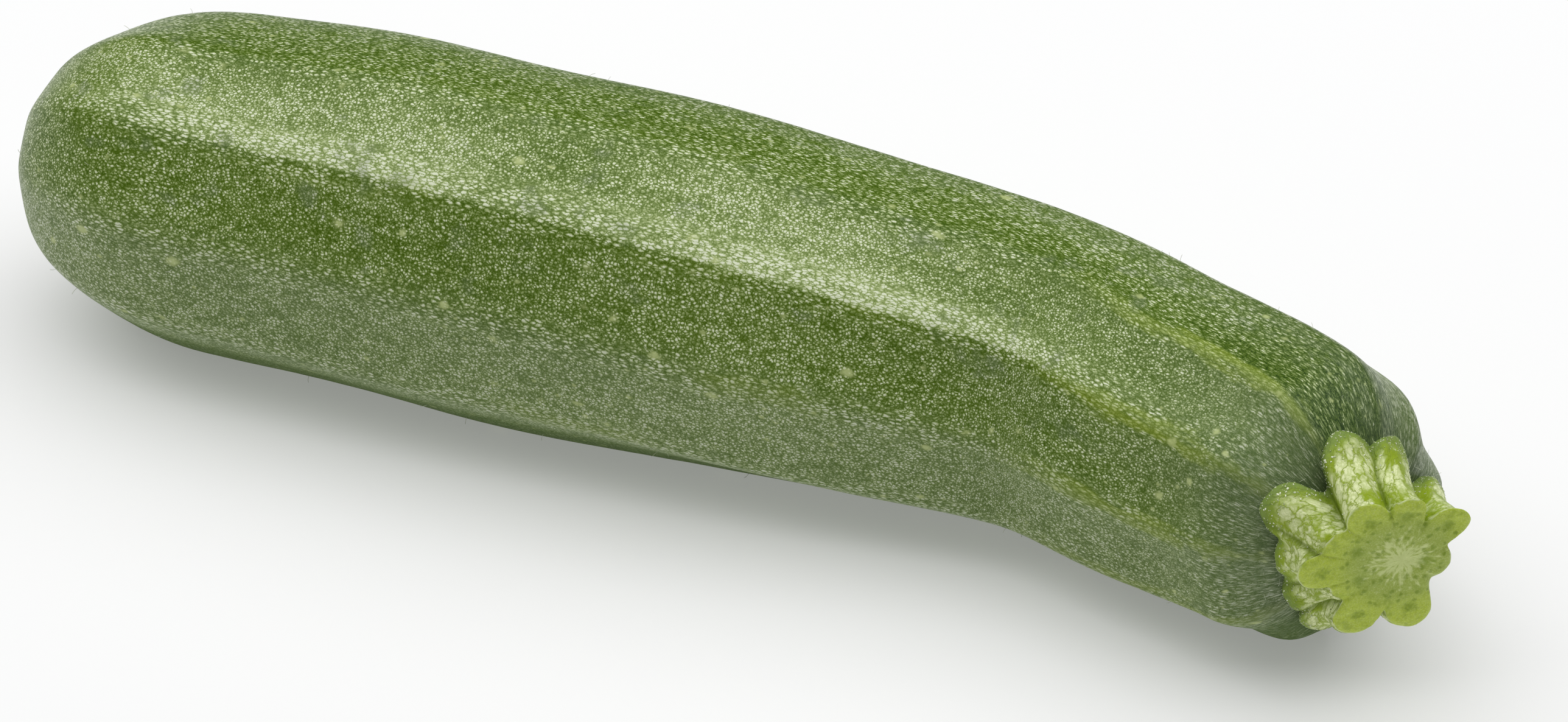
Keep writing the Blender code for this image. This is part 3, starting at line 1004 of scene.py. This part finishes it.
directions = np.stack([np.cos(cut_angles), np.sin(cut_angles)], 1)
places = stem_points / MM
thread_places = up_the_wall(4.0, 12)
near_root = np.exp(-((heights - 0.16) / 0.2) ** 2)
relief = bumpy(thread_places, 0.8, 1) * THREAD_HEIGHT + bumpy(thread_places, 2.2, 4) * RIDGE_HEIGHT
relief += bumpy(places, 2.1, 2) * WRINKLE_HEIGHT * (0.3 + near_root) + bumpy(places, 4.5, 3) * LUMP_HEIGHT
on_wall = np.sin(pi * np.minimum(heights * 1.02, 1)) ** 0.5
relief = on_wall * (relief * (1 - 0.6 * groove) - GROOVE_DEPTH * groove)
is_wall = (shares == 1.0) & (heights < 1.0)
stem_points = stem_points + np.where(is_wall, relief, 0)[..., None] * stem_outward[None]
print("relief on the wall up to", round(float(np.abs(relief).max()) / MM, 2), "mm")

# %% [markdown]
# ## The cut's relief
# A knife leaves a plane, but the tissue behind it gives way unevenly: the rim rounds off, creases open
# between the lobes, the pith sinks, and the large vessel in each lobe leaves a small dent. Each of these
# fades with one distance, slow and fine noise lies over all of them, and together they move the points
# straight out of the cut.

# %% Shape the cut
RIM_ROUNDING = 0.35 * MM
RIM_WIDTH = 0.5 * MM
CREASE_DEPTH = 0.35 * MM
PITH_DEPTH = 0.4 * MM
PITH_RADIUS = 3.4
VEIN_DEPTH = 0.14 * MM
VEIN_PLACE = 1.25
VEIN_RADIUS = 1.3
VEIN_NEAREST = 3.0
FINE_UNEVENNESS = 0.16 * MM
SLOW_UNEVENNESS = 0.4 * MM

across = (shares * cut_reach)[..., None] * directions / MM
from_middle = np.linalg.norm(across, axis=2)
veins = np.zeros(from_middle.shape)
for middle, reach, half in zip(cut_middles, finger_table[:, 3], finger_table[:, 4]):
    centre = np.array((cos(middle), sin(middle))) * max(reach - half * VEIN_PLACE, VEIN_NEAREST)
    veins = np.maximum(veins, np.exp(-((np.linalg.norm(across - centre, axis=2) / VEIN_RADIUS) ** 2)))
rim_distance = (1 - shares) * cut_reach
pith_bell = np.exp(-((from_middle / PITH_RADIUS) ** 2.5))
cut_relief = -RIM_ROUNDING * np.exp(-rim_distance / RIM_WIDTH) * (1 - 0.4 * groove)
cut_relief -= CREASE_DEPTH * groove * np.clip((shares - 0.45) / 0.5, 0, 1) ** 1.5
cut_relief -= PITH_DEPTH * pith_bell + VEIN_DEPTH * veins
cut_relief += FINE_UNEVENNESS * bumpy(places, 1.1, 5) + SLOW_UNEVENNESS * bumpy(places, 5.0, 6)
last_wall = np.clip((heights - 0.9) / 0.1, 0, 1)
stem_points = stem_points + (cut_relief * np.where(shares < 1, 1, last_wall))[..., None] * facing
print("relief on the cut up to", round(float(np.abs(cut_relief).max()) / MM, 2), "mm")

# %% [markdown]
# ## From rows of points to a mesh
# Neighbouring rings are joined by quads. The first and the last ring are closed by a fan of triangles to
# one more point each, so the stem is a closed body although its root is hidden in the fruit.

# %% Close the stem
ROOT_DEPTH = 4 * MM


def skin_between_rings(count, segments):
    """Quads between rings of points, and a fan of triangles at each end."""
    ids = np.arange(count * segments).reshape(count, segments)
    beside = np.roll(ids, -1, 1)
    quads = np.stack([ids[:-1], beside[:-1], beside[1:], ids[1:]], 2).reshape(-1, 4).tolist()
    first = [[count * segments, beside[0][k], ids[0][k]] for k in range(segments)]
    last = [[count * segments + 1, ids[-1][k], beside[-1][k]] for k in range(segments)]
    return first + quads + last


root_middle = on_skin.mean(0) - ahead * ROOT_DEPTH
cut_middle = stem_points[-1].mean(0)
all_points = np.vstack([stem_points.reshape(-1, 3), root_middle[None], cut_middle[None]])
stem_mesh = bpy.data.meshes.new("courgette_stem")
stem_mesh.from_pydata(all_points.tolist(), [], skin_between_rings(len(rows), STEM_SEGMENTS))
stem_mesh.shade_smooth()
stem = bpy.data.objects.new("courgette_stem", stem_mesh)
bpy.context.scene.collection.objects.link(stem)
print("the stem has", sum(len(side.vertices) - 2 for side in stem_mesh.polygons), "triangles")

# %% [markdown]
# ## Marks for the finishes
# The arrays know which point lies in a groove, on a vessel, near the rim or among the toes. Kept as
# attributes, they let the materials and the hairs follow the shape without working any of it out again.

# %% Keep the stem's marks
WALL_LENGTH = 13.0
WALL_RADIUS = 11
RIM_MARK_WIDTH = 0.3 * MM
RIM_MARK_HEIGHT = 0.015
BRISTLES_AT = 0.12
BRISTLES_SPREAD = 0.16
BRISTLES_ELSEWHERE = 0.06


def keep_mark(mesh, name, values, at_root, at_cut):
    """Stores a number or a vector on every point, with values for the two closing points."""
    values = np.asarray(values, float).reshape(len(mesh.vertices) - 2, -1)
    width = values.shape[1]
    values = np.vstack([values, np.full((1, width), at_root), np.full((1, width), at_cut)])
    mark = mesh.attributes.new(name, "FLOAT_VECTOR" if width == 3 else "FLOAT", "POINT")
    mark.data.foreach_set("vector" if width == 3 else "value", values.ravel().astype(np.float32))


ones = np.ones(from_middle.shape)
face = (heights >= 1.0) * ones
rim = np.exp(-rim_distance / RIM_MARK_WIDTH) * face + np.exp((heights - 1) / RIM_MARK_HEIGHT) * (1 - face)
bristly = np.exp(-((heights - BRISTLES_AT) / BRISTLES_SPREAD) ** 2) + BRISTLES_ELSEWHERE
bristly = bristly * (1 - face)
keep_mark(stem_mesh, "fibre", up_the_wall(WALL_LENGTH, WALL_RADIUS), 0, WALL_LENGTH)
keep_mark(stem_mesh, "height", heights * ones, 0, 1)
keep_mark(stem_mesh, "face", face, 0, 1)
keep_mark(stem_mesh, "groove", groove * ones, 0, 0)
keep_mark(stem_mesh, "vein", veins * face, 0, 0)
keep_mark(stem_mesh, "cut_place", np.dstack([across, across[:, :, :1] * 0]), 0, 0)
keep_mark(stem_mesh, "rim", rim, 0, 0)
keep_mark(stem_mesh, "bristly", bristly, 0, 0)
kept_marks = [mark.name for mark in stem_mesh.attributes if not mark.name.startswith(".")]
print("each point of the stem knows its", ", ".join(sorted(kept_marks)))

# %% [markdown]
# ## The stem's wall, painted
# The wall is yellow-green, and along the middle of each finger lie pale patches that a net of green veins
# breaks up. Towards the toes and in the grooves the patches thin out. The toes are a deeper green that looks
# wet, and the grooves are darkened further by painted shade.
# The net is drawn in the fibre's own coordinates, so its cells run up the fingers wherever these bend.

# %% Paint the stem's wall
WALL_GREEN = (0.29, 0.40, 0.018)
WALL_PALE = (0.80, 0.86, 0.48)
TOE_GREEN = (0.20, 0.29, 0.065)
# Painted shade in the grooves between the fingers
GROOVE_SHADE_GREEN = (0.12, 0.18, 0.02)
VEIN_CELL = 1.3
VEIN_PLATEAU = 0.30
FINE_PLATEAU = 0.35

stem_flesh = bpy.data.materials.new("stem_flesh")
stem_mesh.materials.append(stem_flesh)
bench, shader = start_material(stem_flesh)
fibre = attribute(bench, "fibre")
marks = {name: attribute(bench, name, "Fac") for name in ("height", "face", "groove", "vein", "rim")}
here = bench.node("ShaderNodeTexCoord", output="Object") * 1000
speckle = bench.clouds(here, 0.45, 3.0)
wobble = bench.clouds(fibre, 0.7, 3.0, "Color") - 0.5

vein_net = soft_cells(bench, fibre * (0.5, 1.0, 1.0) + wobble * 1.2, VEIN_CELL, VEIN_PLATEAU)
fine_net = soft_cells(bench, fibre * (0.6, 1.0, 1.0) + wobble * 0.6, VEIN_CELL * 0.4, FINE_PLATEAU)
patches = bench.clouds(fibre * (0.4, 1.0, 1.0) + wobble, 2.6, 2.0)
from_toe = (marks["height"] + (patches - 0.5) * 0.5).rises(0.16, 0.36)
paleness = patches.rises(0.36, 0.50) * vein_net * (0.55 + fine_net * 0.45) * from_toe
paleness = paleness * (1 - marks["groove"] * 0.8) * (0.6 + speckle * 0.8)
above_toe = (marks["height"] + (speckle - 0.5) * 0.2).rises(0.05, 0.32)
wall_colour = bench.colour(above_toe, TOE_GREEN, WALL_GREEN)
# Painted shade darkens the grooves between the fingers
wall_colour = bench.colour(marks["groove"] * 0.6, wall_colour, GROOVE_SHADE_GREEN)
wall_colour = bench.colour(paleness, wall_colour, WALL_PALE)
print("veins", VEIN_CELL, "mm apart on the wall")

# %% [markdown]
# ## The cut, painted
# The cut shows a lighter rind, a ring of small dark vessels, a larger ragged one in each lobe, and a pale
# pith whose rays reach out between them. The rays come from a noise that is sampled mostly by direction and
# only a little by distance, which draws it out from the middle. Fine speckles of light and dark lie over
# all of it, because cut cells are wet and open, and no two of them catch the light alike.

# %% Paint the stem's cut
LOBE_GREEN = (0.51, 0.63, 0.070)
FLESH_GREEN = (0.38, 0.48, 0.090)
PITH_PALE = (0.70, 0.78, 0.34)
VEIN_DARK = (0.21, 0.31, 0.025)
VESSEL_SPACING = 1.5
VESSEL_RADIUS = 0.42
VESSELS_FROM = 2.6
VESSELS_TO = 7.6
PITH_REACH = 6.4
PITH_SOFTNESS = 5.0

cut_place = attribute(bench, "cut_place")
distance = cut_place.length()
direction = cut_place.maths("NORMALIZE")
rays = bench.clouds(direction * 2.4 + cut_place * 0.50, 0.75, 3.0)
pith = ((PITH_REACH - distance) / PITH_SOFTNESS + (rays - 0.5) * 3.2).rises(0.40, 1.05)
dot_place = cut_place + (bench.clouds(here, 0.6, 2.0, "Color") - 0.5) * 0.7
dots = {"Vector": dot_place, "Scale": 1 / VESSEL_SPACING}
flat_cells = {"feature": "F1", "voronoi_dimensions": "2D"}
vessel = bench.node("ShaderNodeTexVoronoi", flat_cells, dots, "Distance") * VESSEL_SPACING
in_ring = distance.rises(VESSELS_FROM - 0.5, VESSELS_FROM + 0.5)
in_ring = in_ring * distance.rises(VESSELS_TO + 0.6, VESSELS_TO)
small_vessels = vessel.rises(VESSEL_RADIUS, VESSEL_RADIUS * 0.3) * in_ring * (0.3 + speckle)
large_vessels = (marks["vein"] * (0.35 + speckle * 1.2)).rises(0.35, 1.05)

fine_speckle = bench.clouds(here, 0.20, 2.0)
outer = (distance + (speckle - 0.5) * 3.0).rises(5.0, 9.0)
face_colour = bench.colour(outer, FLESH_GREEN, LOBE_GREEN)
face_colour = bench.colour(speckle.rises(0.35, 0.7) * 0.45, face_colour, FLESH_GREEN)
face_colour = bench.colour(fine_speckle.rises(0.45, 0.75) * 0.3, face_colour, PITH_PALE)
face_colour = bench.colour(fine_speckle.rises(0.50, 0.25) * 0.25, face_colour, VEIN_DARK)
blotches = bench.clouds(here + 20.0, 1.6, 3.0).rises(0.50, 0.66) * (1 - pith)
face_colour = bench.colour(blotches * 0.35, face_colour, VEIN_DARK)
face_colour = bench.colour(pith * 0.75, face_colour, PITH_PALE)
face_colour = bench.colour((small_vessels * 0.8).at_least(large_vessels * 0.7), face_colour, VEIN_DARK)
print("vessels", VESSEL_SPACING, "mm apart in the cut")

# %% [markdown]
# ## Joining wall and cut
# The face mark is 1 on the cut and 0 on the wall, so one material carries both and the knife's edge stays
# as sharp as the mesh. A torn pale line runs along that edge. The bump keeps the veins on the wall raised
# and the small vessels open.

# %% Finish the stem
RIM_PALE = (0.70, 0.78, 0.45)
STEM_RELIEF = 0.08 * MM

stem_colour = bench.colour(marks["face"], wall_colour, face_colour)
torn = bench.clouds(here, 2.0, 2.0).rises(0.42, 0.56)
stem_colour = bench.colour(marks["rim"].rises(0.4, 0.95) * torn * 0.75, stem_colour, RIM_PALE)
height = bench.clouds(here, 0.35, 3.0) + vein_net * (1 - marks["face"]) * 0.8
height -= small_vessels * marks["face"] * 0.4
bump = bench.node("ShaderNodeBump", inputs={"Strength": 1.0, "Distance": STEM_RELIEF, "Height": height})
roughness = 0.40 - marks["face"] * 0.08 + speckle * 0.1
finish_shader(bench, shader, Base_Color=stem_colour, Roughness=roughness, Normal=bump, IOR=1.42)
finish_shader(bench, shader, Specular_IOR_Level=0.2)
print("the stem's tree has", len(stem_flesh.node_tree.nodes), "nodes")

# %% [markdown]
# ## Scattering
# Hairs and droplets are small shapes by the thousand, and a tree sets them: it scatters points over a piece
# by a density that the piece carries as an attribute, turns the shape to the surface at each point, and
# turns it once more at random. A particle system would do this too, but its shapes would not end up in one
# plain mesh.

# %% Scatter over a surface
SQUARE_MM = MM * MM


def scattered_points(bench, size):
    """Points over a piece, where and as densely as its own attribute says."""
    target = bench.node("GeometryNodeObjectInfo", inputs={"Object": size["Grows on"]}, output="Geometry")
    density = bench.node("GeometryNodeInputNamedAttribute", {"data_type": "FLOAT"}, {"Name": "bristly"})
    spread = {"Mesh": target, "Density": density * size["Density"], "Seed": size["Seed"]}
    at_random = {"distribute_method": "RANDOM"}
    return bench.node("GeometryNodeDistributePointsOnFaces", at_random, spread, "Points")


def drawn_vector(bench, low, high, seed):
    """A vector for each point, drawn between two others."""
    limits = {0: low, 1: high, "Seed": seed}
    return bench.node("FunctionNodeRandomValue", {"data_type": "FLOAT_VECTOR"}, limits)


def set_on_points(bench, points, shape, turn, scale, material):
    """The shape on every point, turned to the surface and then by its own turn."""
    turns = {"Rotation": points.also("Rotation"), "Rotate By": turn}
    turned = bench.node("FunctionNodeRotateRotation", {"rotation_space": "LOCAL"}, turns)
    placed = {"Points": points, "Instance": shape, "Rotation": turned, "Scale": scale}
    close_tree(bench, bench.node("GeometryNodeInstanceOnPoints", inputs=placed), material)


print("one square millimetre is", SQUARE_MM, "in the scene's units")

# %% [markdown]
# ## Bristles
# Short stiff hairs stand on the stem, most of them on its toes. A hair is a thin bent thorn: a curve with a
# three-sided section that tapers to its tip, because at less than a tenth of a millimetre nobody sees that
# it isn't round. Each one leans a little at random and has its own length.

# %% Grow the bristles
HAIR_PALE = (0.90, 0.93, 0.80)
HAIR_DULL = (0.60, 0.66, 0.42)


def hair_rule(rows):
    bench, size = open_tree("hair_rule", rows)
    points = scattered_points(bench, size)
    bend = {"Resolution": 3, "Start": (0.0, 0.0, -0.1), "Middle": (0.0, 0.0, 0.6), "End": (0.35, 0.0, 1.0)}
    thread = bench.node("GeometryNodeCurveQuadraticBezier", inputs=bend)
    taper = 1 - bench.node("GeometryNodeSplineParameter") * 0.9
    thread = bench.node("GeometryNodeSetCurveRadius", inputs={"Curve": thread, "Radius": taper})
    ring = {"Resolution": 3, "Radius": size["Slimness"]}
    ring = bench.node("GeometryNodeCurvePrimitiveCircle", inputs=ring)
    sweep = {"Curve": thread, "Profile Curve": ring, "Fill Caps": True}
    thorn = bench.node("GeometryNodeCurveToMesh", inputs=sweep)
    lean = drawn_vector(bench, (-0.6, -0.6, 0.0), (0.6, 0.6, tau), size["Seed"])
    share = {2: 0.5, 3: 1.3, "Seed": size["Seed"]}
    share = bench.node("FunctionNodeRandomValue", {"data_type": "FLOAT"}, share, 1)
    set_on_points(bench, points, thorn, lean, share * size["Length"], size["Material"])
    return bench


def hair_inputs(grows_on, density, length, slimness, seed):
    return [
        ("Grows on", "NodeSocketObject", grows_on),
        ("Density", "NodeSocketFloat", density / SQUARE_MM),
        ("Length", "NodeSocketFloat", length),
        ("Slimness", "NodeSocketFloat", slimness),
        ("Seed", "NodeSocketInt", seed),
        ("Material", "NodeSocketMaterial", hair_finish),
    ]


hair_finish = bpy.data.materials.new("hair_finish")
bench, shader = start_material(hair_finish)
here = bench.node("ShaderNodeTexCoord", output="Object") * 1000
hair_colour = bench.colour(bench.clouds(here, 2.5), HAIR_DULL, HAIR_PALE)
finish_shader(bench, shader, Base_Color=hair_colour, Roughness=0.35)

stem_rows = hair_inputs(stem, 2.4, 1.0 * MM, 0.04, 4)
bristles = grow("stem_bristles", hair_rule(stem_rows), stem_rows)

# %% [markdown]
# ## Droplets
# Between the hairs of the stem sit small glistening bodies: droplets of sap and the swollen feet of hairs.
# They are flat, uneven balls with few faces. Colour alone would leave them without their highlights, and it
# is those that make a fresh stem look moist.

# %% Set the droplets
SAP_DARK = (0.36, 0.44, 0.16)
SAP_PALE = (0.86, 0.90, 0.68)


def droplet_rule(rows):
    bench, size = open_tree("droplet_rule", rows)
    points = scattered_points(bench, size)
    ball = {"Segments": 8, "Rings": 5, "Radius": 1.0}
    drop = bench.node("GeometryNodeMeshUVSphere", inputs=ball, output="Mesh")
    uneven = drawn_vector(bench, (0.5, 0.4, 0.25), (1.3, 0.9, 0.5), size["Seed"])
    turn = drawn_vector(bench, (0.0, 0.0, 0.0), (0.0, 0.0, tau), size["Seed"] + 1)
    set_on_points(bench, points, drop, turn, uneven * size["Size"], size["Material"])
    return bench


sap_finish = bpy.data.materials.new("sap_finish")
bench, shader = start_material(sap_finish)
here = bench.node("ShaderNodeTexCoord", output="Object") * 1000
sap_colour = bench.colour(bench.clouds(here, 1.2).rises(0.35, 0.65), SAP_DARK, SAP_PALE)
finish_shader(bench, shader, Base_Color=sap_colour, Roughness=0.15)
sap_rows = [
    ("Grows on", "NodeSocketObject", stem),
    ("Density", "NodeSocketFloat", 1.4 / SQUARE_MM),
    ("Size", "NodeSocketFloat", 0.17 * MM),
    ("Seed", "NodeSocketInt", 21),
    ("Material", "NodeSocketMaterial", sap_finish),
]
droplets = grow("sap_droplets", droplet_rule(sap_rows), sap_rows)

# %% [markdown]
# ## Hairs on the skin
# The same hairs stand on the skin round the stem, and a few are left all over the fruit. Only the density
# is new, and it is worked out from the attributes that the fruit's rule left behind. Where the stem hides
# the skin, and close to the floor, it is zero, so that no hair stands inside the stem or pokes through the
# floor.

# %% Grow the skin's hairs
FREE_OF_HAIRS_BELOW = 2.5 * MM
UNDER_THE_STEM = 9 * MM
SPARSE = 0.012

along_fruit = read_points(fruit.data, "along", 1)[:, 0]
under_stem = (along_fruit > 0.9) & (read_points(fruit.data, "reach", 1)[:, 0] < UNDER_THE_STEM)
close_to_floor = read_points(fruit.data, "co", 3)[:, 2] < FREE_OF_HAIRS_BELOW
downy = SPARSE + np.clip((along_fruit - 0.86) / 0.1, 0, 1) ** 2
downy = np.where(under_stem | close_to_floor, 0, downy)
mark = fruit.data.attributes.new("bristly", "FLOAT", "POINT")
mark.data.foreach_set("value", downy.astype(np.float32))
fruit_rows = hair_inputs(fruit, 0.45, 0.8 * MM, 0.035, 9)
down = grow("skin_hairs", hair_rule(fruit_rows), fruit_rows)

# %% [markdown]
# ## The floor
# The object lies on a pale sheet, as for a catalogue. The sheet glows a little, so that it stays near white
# beside the fruit and lifts the fruit's lower side, as paper that is lit from all round does.

# %% Lay the floor
FLOOR_SIZE = 4.0
FLOOR_GLOW = 0.25

half = FLOOR_SIZE / 2
corners = [(-half, -half, 0), (half, -half, 0), (half, half, 0), (-half, half, 0)]
floor_mesh = bpy.data.meshes.new("floor")
floor_mesh.from_pydata(corners, [], [(0, 1, 2, 3)])
floor_sheet = bpy.data.objects.new("floor", floor_mesh)
bpy.context.scene.collection.objects.link(floor_sheet)
floor_paper = bpy.data.materials.new("floor_paper")
floor_mesh.materials.append(floor_paper)
bench, shader = start_material(floor_paper)
finish_shader(bench, shader, Base_Color=(0.75, 0.75, 0.75), Roughness=0.9, Specular_IOR_Level=0.0)
finish_shader(bench, shader, Emission_Color=(1.0, 1.0, 1.0), Emission_Strength=FLOOR_GLOW)
print("the floor is", FLOOR_SIZE, "m wide")

# %% [markdown]
# ## The light
# One large soft light hangs overhead, a little behind the fruit. Its reflection lies on the facet between
# the two upper ribs, and the dark room beyond it keeps the neighbouring facets deep green. A weak world
# light fills the shadows. It is kept out of reflections, which would lay a grey veil over the whole skin.

# %% Hang the light
SOFTBOX_HEIGHT = 1.0
SOFTBOX_BEHIND = 0.20
SOFTBOX_WIDTH = 2.6
SOFTBOX_DEPTH = 1.6
SOFTBOX_RADIANCE = 1.6
WORLD_COLOUR = (0.95, 0.97, 1.0, 1)
WORLD_STRENGTH = 0.12

softbox = bpy.data.objects.new("softbox", bpy.data.lights.new("softbox", "AREA"))
softbox.data.shape = "RECTANGLE"
softbox.data.size = SOFTBOX_WIDTH
softbox.data.size_y = SOFTBOX_DEPTH
softbox.data.energy = pi * SOFTBOX_WIDTH * SOFTBOX_DEPTH * SOFTBOX_RADIANCE
softbox.location = level_view * SOFTBOX_BEHIND + Vector((0, 0, SOFTBOX_HEIGHT))
softbox.rotation_euler = (0, 0, CAMERA_HEADING)
bpy.context.scene.collection.objects.link(softbox)

world = bpy.data.worlds.new("world")
bpy.context.scene.world = world
world.use_nodes = True
world.node_tree.nodes["Background"].inputs["Color"].default_value = WORLD_COLOUR
world.node_tree.nodes["Background"].inputs["Strength"].default_value = WORLD_STRENGTH
world.cycles_visibility.glossy = False
bpy.context.scene.view_settings.view_transform = "Standard"
bpy.context.scene.view_settings.look = "None"
print("softbox of", SOFTBOX_WIDTH, "by", SOFTBOX_DEPTH, "m at", SOFTBOX_HEIGHT, "m")

# %% [markdown]
# ## Handing over
# Each piece is told which body it moves with, and the solid that it stands for is hidden.

# %% Hand the pieces over
for piece, node, slot in ((fruit, "fruit", "green_skin"), (stem, "stem", "stem_green")):
    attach(piece, "root")
    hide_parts(node)
for piece in (bristles, down, droplets):
    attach(piece, "root")
